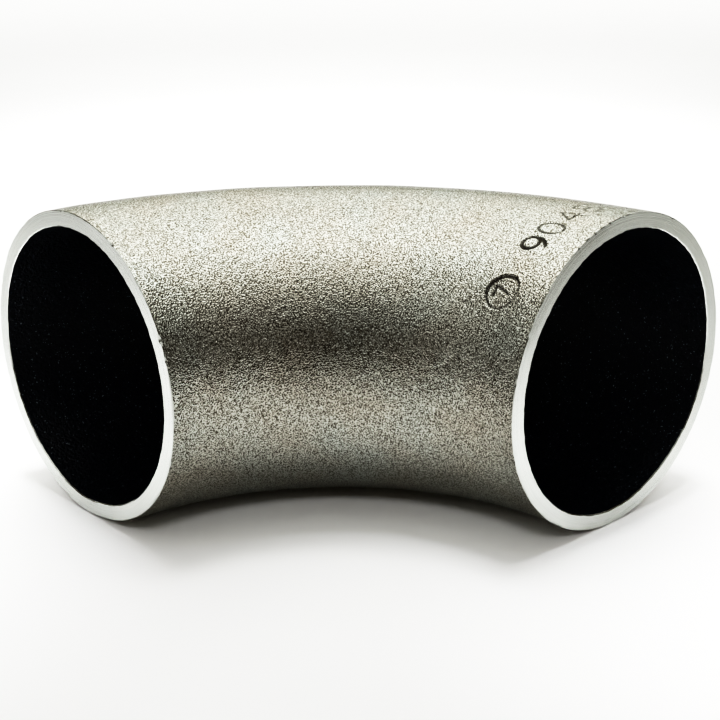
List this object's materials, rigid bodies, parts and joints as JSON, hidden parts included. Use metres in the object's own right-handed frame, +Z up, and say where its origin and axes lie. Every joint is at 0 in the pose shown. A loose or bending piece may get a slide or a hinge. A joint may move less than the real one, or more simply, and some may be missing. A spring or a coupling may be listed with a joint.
{
  "type": "butt weld elbow",
  "caption": "Steel pipe elbow that turns a pipe run through a right angle, with plain square-cut ends for butt welding.",
  "frame": {"origin": "on the surface that the elbow lies on, under the middle of its box", "axes": "+Z up, square to the level plane of the bend; one mouth faces -Y and the other faces -X, and the inside of the bend looks towards -X and -Y"},
  "size_m": [0.0812, 0.0812, 0.0483],
  "materials": {
    "elbow": "shot-blasted carbon steel, with turned end faces and a dark scaled bore"
  },
  "bodies": {
    "root": {"elbow": "elbow"}
  },
  "joints": []
}
